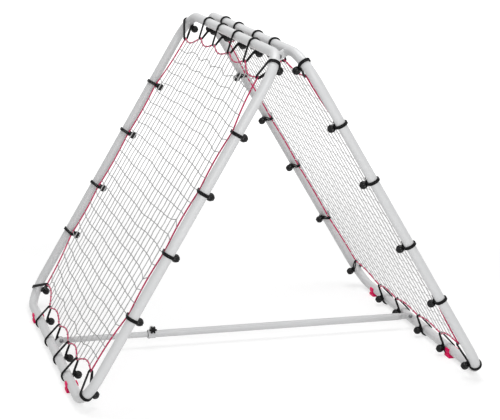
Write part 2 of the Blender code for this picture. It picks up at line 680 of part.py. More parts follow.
def build_knob(axes, ear_face):
    steps = 6 * KNOB_LOBES
    middle = (KNOB_TIP_RADIUS + KNOB_VALLEY_RADIUS) / 2
    swing = (KNOB_TIP_RADIUS - KNOB_VALLEY_RADIUS) / 2
    outline = []
    for step in range(steps):
        angle = 2 * pi * step / steps
        radius = middle + swing * cos(KNOB_LOBES * angle)
        outline.append((radius * cos(angle), radius * sin(angle)))
    star = plate(outline, KNOB_THICKNESS)
    hub_end = OUTER_TUBE_DIAMETER / 2 + CLAMP_WALL + CLAMP_FLANGE_HEIGHT + KNOB_CLEARANCE
    star.transform(Matrix.Translation((0, -hub_end - KNOB_THICKNESS / 2, 0)))
    knob = add_part("star_knob", star, "black_plastic", axes)
    hub = cylinder(KNOB_HUB_RADIUS, -hub_end - KNOB_THICKNESS / 2, -ear_face)
    stud = cylinder(CLAMP_SCREW_DIAMETER / 2, -hub_end, ear_face + NUT_HEIGHT)
    add_boolean(knob, "knob_hub", hub, "UNION", axes)
    add_boolean(knob, "knob_stud", stud, "UNION", axes)


def build_bar(panel_empties):
    pivots = {}
    for name, side in PANEL_SIDES.items():
        x, z = bar_pivot(side)
        bpy.context.view_layer.update()
        spot = panel_empties[name].matrix_world @ Vector((x, 0, z))
        tube_name = {"a": "bar_inner", "b": "bar_outer"}[name]
        pivots[name] = add_empty(f"{tube_name}_axes", Matrix.Translation(spot))
    inner = bar_tube_mesh(INNER_TUBE_DIAMETER / 2, INNER_TUBE_DIAMETER / 2 - INNER_TUBE_WALL,
                          INNER_TUBE_LENGTH, 1)
    add_part("bar_inner_tube", inner, "powder_coat", pivots["a"])
    outer = bar_tube_mesh(OUTER_TUBE_DIAMETER / 2, OUTER_BORE_RADIUS, OUTER_TUBE_LENGTH, -1)
    add_part("bar_outer_tube", outer, "powder_coat", pivots["b"])
    build_clamp(pivots["b"], -OUTER_TUBE_LENGTH)


def build():
    clear_scene()
    bpy.context.scene.collection.children.link(parts)
    bpy.context.scene.collection.children.link(cutters)
    add_material("powder_coat", (0.62, 0.63, 0.64), 0.35)
    add_material("net_cord", (0.30, 0.31, 0.32), 0.80)
    add_material("border_cord", (0.60, 0.03, 0.10), 0.60)
    add_material("bungee", (0.015, 0.015, 0.016), 0.55)
    add_material("red_rubber", (0.70, 0.01, 0.08), 0.55)
    add_material("black_plastic", (0.012, 0.012, 0.013), 0.40)
    add_material("zinc", (0.55, 0.55, 0.56), 0.35, 1.0)
    ties = {"end": tie_mesh(NET_END_MARGIN), "side": tie_mesh(NET_SIDE_MARGIN)}
    foot = foot_mesh()
    panel_empties = {}
    for name, side in PANEL_SIDES.items():
        axes = panel_axes(name, side)
        panel_empties[name] = axes
        build_frame(name, side, axes)
        build_bolts(name, side, axes)
        build_net(name, side, axes)
        build_ties(name, side, axes, ties)
        build_feet(name, side, axes, foot)
    build_bar(panel_empties)


build()
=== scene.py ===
# Free-standing two-sided rebounder net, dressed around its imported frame. Metres, +Z up.
from math import acos, atan2, cos, hypot, pi, radians, sin, sqrt

import bmesh
import bpy
import numpy as np
from mathutils import Matrix, Vector


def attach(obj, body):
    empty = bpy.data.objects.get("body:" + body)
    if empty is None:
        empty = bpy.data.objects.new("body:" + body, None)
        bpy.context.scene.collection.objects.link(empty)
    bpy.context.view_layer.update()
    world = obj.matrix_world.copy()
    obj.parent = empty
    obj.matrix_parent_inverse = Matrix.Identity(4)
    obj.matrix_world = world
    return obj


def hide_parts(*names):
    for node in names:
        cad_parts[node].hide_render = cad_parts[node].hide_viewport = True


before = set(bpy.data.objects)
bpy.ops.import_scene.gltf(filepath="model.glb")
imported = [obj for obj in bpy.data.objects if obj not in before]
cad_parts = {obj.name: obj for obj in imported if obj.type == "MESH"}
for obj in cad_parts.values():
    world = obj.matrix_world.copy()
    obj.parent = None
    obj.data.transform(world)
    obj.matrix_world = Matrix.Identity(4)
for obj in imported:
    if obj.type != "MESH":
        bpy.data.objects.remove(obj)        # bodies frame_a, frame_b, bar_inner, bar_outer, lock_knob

for spare in ("Cube", "Light", "Camera"):
    if spare in bpy.data.objects:
        bpy.data.objects.remove(bpy.data.objects[spare], do_unlink=True)
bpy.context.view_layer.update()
print("frame loaded:", len(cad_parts), "nodes")


# Small helpers for meshes

shift, spin = Matrix.Translation, Matrix.Rotation
weldDistance = 0.00001
sharpAngle = 35.0            # degrees, over which a bevelled edge is rounded


def newObject(name, data):
    thing = bpy.data.objects.new(name, data)
    bpy.context.scene.collection.objects.link(thing)
    return thing


def adjusted(thing, **settings):
    for key, value in settings.items():
        setattr(thing, key, value)
    return thing


def modify(thing, kind, **settings):
    return adjusted(thing.modifiers.new(kind, kind), **settings)


def plainMesh(source):
    # The finished mesh of an object with its curve or modifiers worked out; the object goes.
    bpy.context.view_layer.update()
    graph = bpy.context.evaluated_depsgraph_get()
    mesh = bpy.data.meshes.new_from_object(source.evaluated_get(graph), depsgraph=graph)
    bpy.data.objects.remove(source, do_unlink=True)
    return mesh


def meshOf(body, name="shape"):
    mesh = bpy.data.meshes.new(name)
    body.to_mesh(mesh)
    body.free()
    return mesh


def moved(mesh, place):
    mesh.transform(place)
    return mesh


def joinedMesh(meshes, weld=False):
    # One mesh from several; weld merges the points that meet.
    whole = bmesh.new()
    for mesh in meshes:
        whole.from_mesh(mesh)
    if weld:
        bmesh.ops.remove_doubles(whole, verts=whole.verts, dist=weldDistance)
        bmesh.ops.recalc_face_normals(whole, faces=whole.faces)
    return meshOf(whole)


def curveObject(runs, cyclic=False):
    curve = bpy.data.curves.new("path", "CURVE")
    curve.dimensions = "3D"
    for points in runs:
        spline = curve.splines.new("POLY")
        spline.points.add(len(points) - 1)
        for slot, point in zip(spline.points, points):
            slot.co = (*point, 1.0)
        spline.use_cyclic_u = cyclic
    return newObject("path", curve)


def around(count, offset=0.0):
    # The angles of points spaced evenly round a circle.
    return [2 * pi * (n + offset) / count for n in range(count)]


def ring(radii, y, x=0.0, offset=0.0):
    # Points round the Y axis, or round x beside it, each with its own radius.
    return [(x + radius * cos(a), y, radius * sin(a))
            for radius, a in zip(radii, around(len(radii), offset))]


def arc(centre, radius, first, sweep, steps):
    angles = [first + sweep * n / steps for n in range(steps + 1)]
    return [(centre[0] + radius * cos(a), centre[1] + radius * sin(a)) for a in angles]


def loftMesh(rings, close=False):
    # Skins rings of points in the same order; close joins the last ring to the first.
    body = bmesh.new()
    rows = [[body.verts.new(point) for point in points] for points in rings]
    if close:
        rows.append(rows[0])
    for low, high in zip(rows, rows[1:]):
        for n in range(len(low)):
            m = (n + 1) % len(low)
            body.faces.new((low[n], low[m], high[m], high[n]))
    if not close:
        body.faces.new(rows[0][::-1])
        body.faces.new(rows[-1])
    bmesh.ops.recalc_face_normals(body, faces=body.faces)
    return meshOf(body)


def turnedMesh(profile, sides, close=False):
    # A profile of (radius, place along Y) turned about the Y axis.
    return loftMesh([ring([radius] * sides, y) for radius, y in profile], close)


def nutMesh(radius, low, high, chamfer):
    # A hexagon on the Y axis with chamfered corners.
    levels = ((radius - chamfer, low), (radius, low + 0.6 * chamfer),
              (radius, high - 0.6 * chamfer), (radius - chamfer, high))
    return loftMesh([ring([reach] * 6, y, offset=0.5) for reach, y in levels])


def beltOutline(centreOne, radiusOne, centreTwo, radiusTwo, steps=18):
    # The outline of a belt round two circles in the XZ plane.
    across = (centreTwo[0] - centreOne[0], centreTwo[1] - centreOne[1])
    heading = atan2(across[1], across[0])
    lean = acos((radiusOne - radiusTwo) / hypot(*across))
    return (arc(centreOne, radiusOne, heading + lean, 2 * pi - 2 * lean, steps)
            + arc(centreTwo, radiusTwo, heading - lean, 2 * lean, steps))


def plateMesh(outline, thickness, edge, hole=None):
    # A plate in the XZ plane with softened edges, centred on Y = 0; hole is (x, z, radius).
    loops = [outline]
    if hole:
        x, z, radius = hole
        loops.append([(x + radius * cos(a), z - radius * sin(a)) for a in around(28)])
    source = curveObject([[(x, z, 0.0) for x, z in loop] for loop in loops], True)
    adjusted(source.data, dimensions="2D", fill_mode="BOTH", extrude=thickness / 2 - edge,
             bevel_depth=edge, bevel_resolution=2, offset=-edge)
    return joinedMesh([moved(plainMesh(source), spin(pi / 2, 4, "X"))], weld=True)


def boxMesh(size, centre):
    block = bmesh.new()
    bmesh.ops.create_cube(block, size=1.0)
    block.transform(shift(centre) @ Matrix.Diagonal((*size, 1)))
    return meshOf(block)


def combinedMesh(base, joins, cuts, bevel=0.0):
    # Joins some meshes to a closed mesh, then cuts others from it.
    whole = newObject("whole", base)
    helpers = [newObject("helper", mesh) for mesh in (*joins, *cuts)]
    for n, helper in enumerate(helpers):
        operation = "UNION" if n < len(joins) else "DIFFERENCE"
        modify(whole, "BOOLEAN", operation=operation, object=helper)
    if bevel:
        modify(whole, "BEVEL", width=bevel, segments=2, limit_method="ANGLE",
               angle_limit=radians(sharpAngle))
    mesh = plainMesh(whole)
    for helper in helpers:
        bpy.data.objects.remove(helper, do_unlink=True)
    return mesh


def addAttribute(mesh, label, kind, values, domain="POINT"):
    field = "vector" if kind == "FLOAT_VECTOR" else "value"
    mesh.attributes.new(label, kind, domain).data.foreach_set(field, values)


def addPiece(name, mesh, material, body, nodes=(), smoothAngle=30.0, place=Matrix()):
    mesh.name = name
    mesh.transform(place)
    mesh.materials.clear()
    mesh.materials.append(material)
    mesh.shade_smooth()
    mesh.set_sharp_from_angle(angle=radians(smoothAngle))
    piece = newObject(name, mesh)
    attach(piece, body)
    if nodes:
        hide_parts(*nodes)


# Node trees, for shapes and for finishes

class Wire:
    # A node's output that can be used in plain arithmetic.
    def __init__(self, owner, socket):
        self.owner, self.socket = owner, socket

    def other(self, output):
        # Another output of the same node.
        return Wire(self.owner, self.socket.node.outputs[output])

    def sum(self, operation, first, second=0.0):
        return self.owner.node("ShaderNodeMath", {"operation": operation}, {0: first, 1: second})

    def __add__(self, other):
        return self.sum("ADD", self, other)

    def __sub__(self, other):
        return self.sum("SUBTRACT", self, other)

    def __rsub__(self, other):
        return self.sum("SUBTRACT", other, self)

    def __mul__(self, other):
        return self.sum("MULTIPLY", self, other)

    __radd__ = __add__
    __rmul__ = __mul__

    def sine(self):
        return self.sum("SINE", self)

    def clamped(self):
        return self.owner.node("ShaderNodeClamp", {}, {"Value": self})


class Nodes:
    # Adds nodes to a tree, with their settings and the values or links of their sockets.
    def __init__(self, tree):
        self.tree = tree

    def link(self, value, socket):
        if isinstance(value, Wire):
            self.tree.links.new(value.socket, socket)
        else:
            socket.default_value = value

    def node(self, kind, settings, values, output=0):
        node = adjusted(self.tree.nodes.new(kind), **settings)
        for key, value in values.items():
            self.link(value, node.inputs[key])
        return Wire(self, node.outputs[output])


class Recipe(Nodes):
    # A geometry node tree with named inputs; source is the geometry that it is given.
    def __init__(self, name, inputs):
        super().__init__(bpy.data.node_groups.new(name, "GeometryNodeTree"))
        face = self.tree.interface
        inputs = {"Geometry": "Geometry", **inputs, "Finish": "Material"}
        for label, kind in inputs.items():
            face.new_socket(label, in_out="INPUT", socket_type="NodeSocket" + kind)
        face.new_socket("Geometry", in_out="OUTPUT", socket_type="NodeSocketGeometry")
        self.source = Wire(self, self.tree.nodes.new("NodeGroupInput").outputs[0])

    def given(self, label):
        return self.source.other(label)

    def read(self, label, kind):
        return self.node("GeometryNodeInputNamedAttribute", {"data_type": kind}, {"Name": label})

    def stored(self, geometry, label, value, kind="FLOAT"):
        return self.node("GeometryNodeStoreNamedAttribute", {"data_type": kind, "domain": "POINT"},
                         {"Geometry": geometry, "Name": label, "Value": value})

    def measured(self, line):
        # A line whose points know how far along it they are.
        length = self.node("GeometryNodeSplineParameter", {}, {}, "Length")
        return self.stored(line, "along", length)

    def swept(self, line, radius):
        # The cord on a line, whose points know which way round it they are.
        circle = self.circle(self.given("Sides"), radius)
        place = self.node("GeometryNodeInputPosition", {}, {})
        way = self.node("ShaderNodeVectorMath", {"operation": "NORMALIZE"}, {0: place})
        outline = self.stored(circle, "ring", way, "FLOAT_VECTOR")
        return self.node("GeometryNodeCurveToMesh", {},
                         {"Curve": line, "Profile Curve": outline, "Fill Caps": True})

    def circle(self, sides, radius):
        return self.node("GeometryNodeCurvePrimitiveCircle", {},
                         {"Resolution": sides, "Radius": self.given(radius)})

    def drop(self, radius):
        return self.node("GeometryNodeMeshIcoSphere", {},
                         {"Radius": self.given(radius), "Subdivisions": 2})

    def copies(self, points, shape, **values):
        return self.node("GeometryNodeInstanceOnPoints", {},
                         {"Points": points, "Instance": shape, **values})

    def facing(self, axis, way):
        return self.node("FunctionNodeAlignRotationToVector", {"axis": axis}, {"Vector": way})

    def joined(self, *parts):
        whole = self.node("GeometryNodeJoinGeometry", {}, {})
        for part in parts:
            self.link(part, whole.socket.node.inputs[0])
        return whole

    def finish(self, geometry):
        real = self.node("GeometryNodeRealizeInstances", {}, {"Geometry": geometry})
        values = {"Geometry": real, "Material": self.given("Finish")}
        painted = self.node("GeometryNodeSetMaterial", {}, values)
        self.link(painted, self.tree.nodes.new("NodeGroupOutput").inputs["Geometry"])
        return self.tree


class Finish(Nodes):
    # A material around one Principled shader.
    def __init__(self, name, roughness, metallic=0.0):
        self.material = adjusted(bpy.data.materials.new(name), use_nodes=True)
        super().__init__(self.material.node_tree)
        self.shader = self.tree.nodes["Principled BSDF"]
        self.set(Roughness=roughness, Metallic=metallic)

    def set(self, **values):
        for key, value in values.items():
            self.link(value, self.shader.inputs[key.replace("_", " ")])

    def place(self):
        return self.node("ShaderNodeTexCoord", {}, {}, "Object")

    def noise(self, scale, detail=2.0):
        values = {"Vector": self.place(), "Scale": scale, "Detail": detail, "Roughness": 0.55}
        return self.node("ShaderNodeTexNoise", {}, values, "Fac")

    def attribute(self, name, output="Fac"):
        return self.node("ShaderNodeAttribute", {"attribute_name": name}, {}, output)

    def mixed(self, amount, first, second):
        first, second = ((*colour, 1.0) if isinstance(colour, tuple) else colour
                         for colour in (first, second))
        return self.node("ShaderNodeMix", {"data_type": "RGBA"},
                         {"Factor": amount, 6: first, 7: second}, 2)

    def bump(self, height, distance, strength):
        values = {"Height": height, "Distance": distance, "Strength": strength}
        self.set(Normal=self.node("ShaderNodeBump", {}, values))

    def cordWaves(self, pitch, strands):
        # Waves that wind right and left round a cord, from its own attributes.
        along = self.attribute("along") * (2 * pi / pitch)
        way = self.node("ShaderNodeSeparateXYZ", {}, {0: self.attribute("ring", "Vector")})
        angle = way.sum("ARCTAN2", way.other(1), way) * strands
        return (along + angle).sine(), (along - angle).sine()


def madeBy(tree, source, values):
    # Runs a node tree on an object and gives its plain mesh.
    modifier = modify(source, "NODES", node_group=tree)
    for item in tree.interface.items_tree:
        if item.in_out == "INPUT" and item.name in values:
            modifier[item.identifier] = values[item.name]
    return plainMesh(source)


# Finishes

def makeNetCord(name, down, across):
    # A twisted cord; down and across are the greys of its two ways in the net.
    finish = Finish(name, 0.85)
    strand = finish.cordWaves(0.006, 2)[0] * 0.5 + 0.5
    amount = (strand * 0.6 + finish.noise(45.0) * 0.4).clamped()
    cross = finish.attribute("cross")
    greys = [finish.mixed(cross, (down * k,) * 3, (across * k,) * 3) for k in (0.72, 1.22)]
    finish.set(Base_Color=finish.mixed(amount, *greys))
    finish.bump(strand, 0.0003, 0.6)
    return finish.material


def makeBraid(name, dark, light, roughness, pitch, strands, bump, fleck=0.0, gloss=0.5, sheen=0.0):
    # fleck is the share of the colour that drifts with a noise and not with the braid.
    finish = Finish(name, roughness)
    right, left = finish.cordWaves(pitch, strands)
    braid = (right.sum("MAXIMUM", right, left) * 0.5 + 0.5).clamped()
    amount = (braid * (1 - fleck) + finish.noise(60.0) * fleck).clamped() if fleck else braid
    finish.set(Base_Color=finish.mixed(amount, dark, light), Specular_IOR_Level=gloss,
               Sheen_Weight=sheen)
    finish.bump(braid, *bump)
    return finish.material


def makeSurface(name, dark, light, smooth, drift, cloud, grain, bump, gloss=0.5, metallic=0.0):
    # A broad noise moves the colour, and the roughness from smooth by drift; a fine one is grain.
    finish = Finish(name, smooth, metallic)
    broad = finish.noise(*cloud)
    finish.set(Base_Color=finish.mixed(broad, dark, light), Roughness=broad * drift + smooth,
               Specular_IOR_Level=gloss)
    finish.bump(finish.noise(*grain), *bump)
    return finish.material


black = (0.003, 0.003, 0.003)
coat = {"smooth": 0.30, "drift": 0.14, "cloud": (7.0, 3.0), "grain": (820.0, 1.0),
        "bump": (0.00012, 0.35)}
moulded = {"drift": 0.16, "cloud": (30.0, 3.0), "bump": (0.00008, 0.5)}
powderCoat = makeSurface("powderCoat", (0.62, 0.625, 0.63), (0.69, 0.695, 0.70), **coat)
# The stay bar has the same powder coat as the frame. This darker copy of it is painted shade on the
# bar.
shadedBarCoat = makeSurface("shadedBarCoat", (0.58, 0.585, 0.59), (0.65, 0.655, 0.66), **coat)
zincPlate = makeSurface("zincPlate", (0.13, 0.13, 0.135), (0.26, 0.262, 0.27), 0.22, 0.25,
                        (90.0, 3.0), (600.0,), (0.00004, 0.4), metallic=1.0)
ballPlastic = makeSurface("ballPlastic", black, (0.009, 0.009, 0.010), smooth=0.14,
                          grain=(900.0,), gloss=0.20, **moulded)
knobPlastic = makeSurface("knobPlastic", black, (0.008, 0.008, 0.009), smooth=0.22,
                          grain=(1200.0,), gloss=0.16, **moulded)
redRubber = makeSurface("redRubber", (0.80, 0.001, 0.100), (0.92, 0.004, 0.150),
                        smooth=0.52, grain=(700.0,), gloss=0.20, **moulded)
# Both panels use the same net cord. Panel b's greys are lighter than panel a's as painted light,
# since b faces the light more.
netCords = {"a": makeNetCord("netCordA", 0.54, 0.42), "b": makeNetCord("netCordB", 0.66, 0.74)}
borderCord = makeBraid("borderCord", (0.34, 0.002, 0.048), (0.64, 0.008, 0.120), 0.62, 0.0075, 4,
                       (0.0004, 0.7), fleck=0.3, sheen=0.15)
elastic = makeBraid("elastic", black, (0.014, 0.014, 0.015), 0.58, 0.0042, 6, (0.00025, 0.6),
                    gloss=0.10)
print("finishes ready")


# Geometry node trees: a tube along a path, beads along a seam, a net and rows of ties

tieKinds = ("End tie", "Side tie", "Corner tie", "Low far tie")


def makeTubeTree():
    recipe = Recipe("tubeAlongPath", {"Radius": "Float", "Sides": "Int"})
    return recipe.finish(recipe.swept(recipe.measured(recipe.source), "Radius"))


def makeBeadTree():
    # Weld beads: drops laid along each seam, each a little different in size.
    recipe = Recipe("beadsAlongSeam", {"Pitch": "Float", "Size": "Float", "Seed": "Int"})
    seam = recipe.node("GeometryNodeResampleCurve", {"mode": "LENGTH"},
                       {"Curve": recipe.source, "Length": recipe.given("Pitch")})
    tangent = recipe.node("GeometryNodeInputTangent", {}, {})
    spread = recipe.node("FunctionNodeRandomValue", {"data_type": "FLOAT"},
                         {2: 0.85, 3: 1.15, "Seed": recipe.given("Seed")}, 1)
    return recipe.finish(recipe.copies(seam, recipe.drop("Size"), Scale=spread,
                                       Rotation=recipe.facing("X", tangent)))


def makeNetTree():
    # Cords along the edges of a grid, a knot at each crossing and a loop at each border point.
    recipe = Recipe("knottedNet", {"Cord": "Float", "Cross Cord": "Float", "Loop Cord": "Float",
                                   "Sides": "Int", "Knot": "Float", "Loop": "Float",
                                   "Seed": "Int"})
    isRow = recipe.read("row", "BOOLEAN")
    isColumn = recipe.node("FunctionNodeBooleanMath", {"operation": "NOT"}, {0: isRow})
    ways = []
    for cross, wanted, cord in ((0.0, isColumn, "Cord"), (1.0, isRow, "Cross Cord")):
        line = recipe.node("GeometryNodeMeshToCurve", {},
                           {"Mesh": recipe.source, "Selection": wanted})
        ways.append(recipe.swept(recipe.stored(recipe.measured(line), "cross", cross), cord))
    size = recipe.node("FunctionNodeRandomValue", {"data_type": "FLOAT_VECTOR"},
                       {0: (0.85, 0.75, 0.75), 1: (1.1, 1.05, 1.05), "Seed": recipe.given("Seed")})
    knots = recipe.copies(recipe.source, recipe.drop("Knot"), Scale=size,
                          Selection=recipe.read("knot", "BOOLEAN"))
    hoop = recipe.swept(recipe.circle(12, "Loop"), "Loop Cord")
    heading = recipe.facing("Z", recipe.read("tangent", "FLOAT_VECTOR"))
    hoops = recipe.copies(recipe.source, hoop, Rotation=heading,
                          Selection=recipe.read("edge", "BOOLEAN"))
    return recipe.finish(recipe.joined(*ways, knots, hoops))


def makeTieTree():
    # One shape on the points of each kind.
    recipe = Recipe("tieRows", {label: "Object" for label in tieKinds})
    turn = recipe.read("turn", "FLOAT_VECTOR")
    heading = recipe.node("FunctionNodeEulerToRotation", {}, {"Euler": turn})
    kind = recipe.read("kind", "INT")
    rows = []
    for number, label in enumerate(tieKinds):
        shape = recipe.node("GeometryNodeObjectInfo", {"transform_space": "ORIGINAL"},
                            {"Object": recipe.given(label)}, "Geometry")
        wanted = recipe.node("FunctionNodeCompare", {"data_type": "INT", "operation": "EQUAL"},
                             {2: kind, 3: number})
        rows.append(recipe.copies(recipe.source, shape, Selection=wanted, Rotation=heading))
    return recipe.finish(recipe.joined(*rows))


tubeTree, beadTree = makeTubeTree(), makeBeadTree()
netTree, tieTree = makeNetTree(), makeTieTree()


def tubeMesh(runs, radius, sides, material, cyclic=False):
    return madeBy(tubeTree, curveObject(runs, cyclic),
                  {"Radius": radius, "Sides": sides, "Finish": material})


# Panels, in their own axes: origin on the hinge axis, +Z up the panel, +Y along the ridge.
# The outward side is at side * X, with side -1 for panel a and 1 for panel b.

panel = {
    "width": 1.250,           # between the side rails' centre lines
    "length": 1.220,          # between the top and bottom rails' centre lines
    "halfAngle": radians(30.5),
    "tubeRadius": 0.016, "tubeSides": 48,
    "bendRadius": 0.105, "bendSteps": 20,
    "standoff": 0.037,        # from the rails' plane in to the hinge axis
    "soleToTube": 0.0223,
}
lugs = {
    "hingeSpacing": 0.960, "hingeRadius": 0.013, "hingeRoot": 0.012, "fork": 0.003,
    "tongue": 0.006, "gap": 0.0003, "hole": 0.0043, "edge": 0.0006,
    "barRise": 0.034, "barSetback": 0.010, "barRadius": 0.011, "barCheek": 0.003,
    "beadPitch": 0.0024, "beadSize": 0.0019, "beadRise": 0.0004, "seamSteps": 12, "seed": 3,
}
sideOf = {"a": -1, "b": 1}
ends = {"near": -0.5, "far": 0.5}
hingeHeight = (panel["soleToTube"] + panel["length"] * cos(panel["halfAngle"])
               - panel["standoff"] * sin(panel["halfAngle"]))


def panelPlace(side):
    return shift((0, 0, hingeHeight)) @ spin(-side * panel["halfAngle"], 4, "Y")


def railPath(side):
    across = panel["width"] / 2 - panel["bendRadius"]
    along = panel["length"] / 2 - panel["bendRadius"]
    points = []
    for quarter, (y, z) in enumerate(((1, 1), (-1, 1), (-1, -1), (1, -1))):
        centre = (y * across, z * along - panel["length"] / 2)
        points += arc(centre, panel["bendRadius"], quarter * pi / 2, pi / 2, panel["bendSteps"])
    return [(side * panel["standoff"], *point) for point in points]


def barPivot(side):
    x = side * (panel["standoff"] - lugs["barSetback"])
    return x, 0, lugs["barRise"] - panel["length"]


def lugPlates(side):
    # (pivot, root centre, pivot radius, root radius, thickness, y) of each welded plate.
    rail = side * panel["standoff"]
    half = lugs["tongue"] / 2 + lugs["gap"]
    fork = half + lugs["fork"] / 2
    rows = [(-fork, lugs["fork"]), (fork, lugs["fork"])] if side < 0 else [(0.0, lugs["tongue"])]
    plates = [((0, 0), (rail, 0), lugs["hingeRadius"], lugs["hingeRoot"], thickness,
               share * lugs["hingeSpacing"] + y) for share in ends.values()
              for y, thickness in rows]
    cheek = half + lugs["barCheek"] / 2
    return plates + [(barPivot(side)[::2], (rail, -panel["length"]), lugs["barRadius"],
                      lugs["barRadius"], lugs["barCheek"], y) for y in (-cheek, cheek)]


def plateSeams(pivot, root, rootRadius, thickness, y):
    # The two arcs where a plate's faces meet the tube.
    heading = atan2(pivot[1] - root[1], pivot[0] - root[0])
    half = acos(sqrt(1 - (rootRadius / panel["tubeRadius"]) ** 2))
    seam = arc(root, panel["tubeRadius"], heading - half, 2 * half, lugs["seamSteps"])
    out = thickness / 2 + lugs["beadRise"]
    return [[(x, y + rise, z) for x, z in seam] for rise in (-out, out)]


def buildFrames():
    for name, side in sideOf.items():
        body, place = f"frame_{name}", panelPlace(side)
        rail = tubeMesh([railPath(side)], panel["tubeRadius"], panel["tubeSides"], powderCoat, True)
        addPiece(f"frameTube_{name}", rail, powderCoat, body, [body], 40.0, place)
        plates, seams = [], []
        for pivot, root, pivotRadius, rootRadius, thickness, y in lugPlates(side):
            outline = beltOutline(pivot, pivotRadius, root, rootRadius)
            plate = plateMesh(outline, thickness, lugs["edge"], (*pivot, lugs["hole"]))
            plates.append(moved(plate, shift((0, y, 0))))
            seams += plateSeams(pivot, root, rootRadius, thickness, y)
        addPiece(f"lugs_{name}", joinedMesh(plates), powderCoat, body, place=place)
        values = {"Pitch": lugs["beadPitch"], "Size": lugs["beadSize"], "Seed": lugs["seed"],
                  "Finish": powderCoat}
        beads = madeBy(beadTree, curveObject(seams), values)
        addPiece(f"welds_{name}", beads, powderCoat, body, (), 80.0, place)


buildFrames()
print("frames ready")


# Net and border cord

net = {
    "sideMargin": 0.058, "endMargin": 0.060, "cornerAcross": 0.110, "cornerAlong": 0.087,
    "sideScallop": 0.014, "endScallop": 0.020, "scallopPower": 1.05, "scallopSteps": 24,
    "endPitch": 0.210, "sidePitch": 0.214964, "sideShift": 0.010, "tiesPerRail": 4,
    "borderRadius": 0.0026, "borderSides": 12, "columns": 23, "rows": 24, "cordSides": 6,
    "cordRadius": 0.0018,     # of the cords down the panel
    "crossRadius": {"a": 0.0015, "b": 0.0011}, "knotRadius": {"a": 0.0026, "b": 0.0020},
    "loopCord": 0.0009, "loopRadius": 0.0034, "relaxRounds": 500, "pullDown": 0.12,
    "slack": 0.0006, "waves": (0.00147, 0.0042), "waveReach": 5, "seed": 11, "knotSeed": 5,
}
inwardOf = {"top": (0, -1), "right": (-1, 0), "low": (0, 1), "left": (1, 0)}
# How far each tie sits along its rail from its even place, and how far the net's low far
# corner is pulled along and up.
tieCreep = {
    "a": {"top": (0.011, 0.013, 0.018, 0.011), "right": (-0.012, -0.002, -0.013, 0.002),
          "low": (-0.001, -0.027, -0.026, 0.003), "left": (0.010, 0.019, 0.018, 0.008)},
    "b": {"top": (0.0, 0.0, 0.045, 0.023), "right": (0.017, 0.039, 0.038, 0.012),
          "low": (0.0, 0.020, 0.002, -0.009), "left": (0.004, 0.004, 0.034, 0.029)},
}
lowFarCorner = {"a": (0.0, 0.010), "b": (0.010, 0.026)}


def edgeSpots(name):
    # The (Y, Z) spots where ties hold each edge of a panel's border, from corner to corner.
    y, top = panel["width"] / 2 - net["cornerAcross"], -net["cornerAlong"]
    low = net["cornerAlong"] - panel["length"]
    across, up = lowFarCorner[name]
    corners = [(-y, top), (y, top), (y + across, low + up), (-y, low)]
    tieY = panel["width"] / 2 - net["sideMargin"]
    endZ = {-1: -net["endMargin"], 1: net["endMargin"] - panel["length"]}
    middle = net["sideShift"] - panel["length"] / 2
    edges = {}
    for number, (label, (inY, inZ)) in enumerate(inwardOf.items()):
        spots = [corners[number]]
        for n, off in enumerate(tieCreep[name][label]):
            step = (inY - inZ) * (n - (net["tiesPerRail"] - 1) / 2)
            spots.append((step * net["endPitch"] + off, endZ[inZ]) if inZ
                         else (-inY * tieY, middle + step * net["sidePitch"] + off))
        edges[label] = spots + [corners[(number + 1) % 4]]
    return edges


def borderEdge(name, edge):
    # The border's line along one edge, scalloped from tie to tie.
    spots, inward = edgeSpots(name)[edge], inwardOf[edge]
    scallop = net["endScallop"] if inward[1] else net["sideScallop"]
    points = []
    for start, end in zip(spots, spots[1:]):
        for step in range(net["scallopSteps"]):
            share = step / net["scallopSteps"]
            depth = scallop * sin(pi * share) ** net["scallopPower"]
            points.append(tuple(start[n] + (end[n] - start[n]) * share + inward[n] * depth
                                for n in (0, 1)))
    return points + [spots[-1]]


def evenly(points, count):
    # Points at equal steps of length along a line of points.
    line = np.array(points)
    reach = np.concatenate([[0.0], np.cumsum(np.linalg.norm(np.diff(line, axis=0), axis=1))])
    marks = np.linspace(0.0, reach[-1], count + 1)
    return np.stack([np.interp(marks, reach, line[:, n]) for n in (0, 1)], axis=1)


def relaxedGrid(name, rng):
    # The net's crossings: each rests between its four neighbours, and the cords that run
    # down the panel pull harder, so the scallops' waves fade slowly along them.
    columns, rows = net["columns"], net["rows"]
    top, right, low, left = (evenly(borderEdge(name, edge), rows if inward[0] else columns)
                             for edge, inward in inwardOf.items())
    shares = [row / rows for row in range(rows + 1)]
    grid = np.stack([top * (1 - share) + low[::-1] * share for share in shares])
    grid[:, 0], grid[:, -1] = left[::-1], right
    grid[0], grid[-1] = top, low[::-1]
    across = np.array([0.5, net["pullDown"] / (1 + net["pullDown"])])
    for _ in range(net["relaxRounds"]):
        down = (grid[:-2, 1:-1] + grid[2:, 1:-1]) * (1 - across)
        grid[1:-1, 1:-1] = (down + (grid[1:-1, :-2] + grid[1:-1, 2:]) * across) / 2
    waves = rng.normal(0.0, 1.0, grid.shape)
    for _ in range(net["waveReach"]):
        total = waves[1:-1, 1:-1] + waves[:-2, 1:-1] + waves[2:, 1:-1]
        waves[1:-1, 1:-1] = (total + waves[1:-1, :-2] + waves[1:-1, 2:]) / 5
    waves[[0, -1]] = waves[:, [0, -1]] = 0
    return grid + waves / waves.std() * np.array(net["waves"])


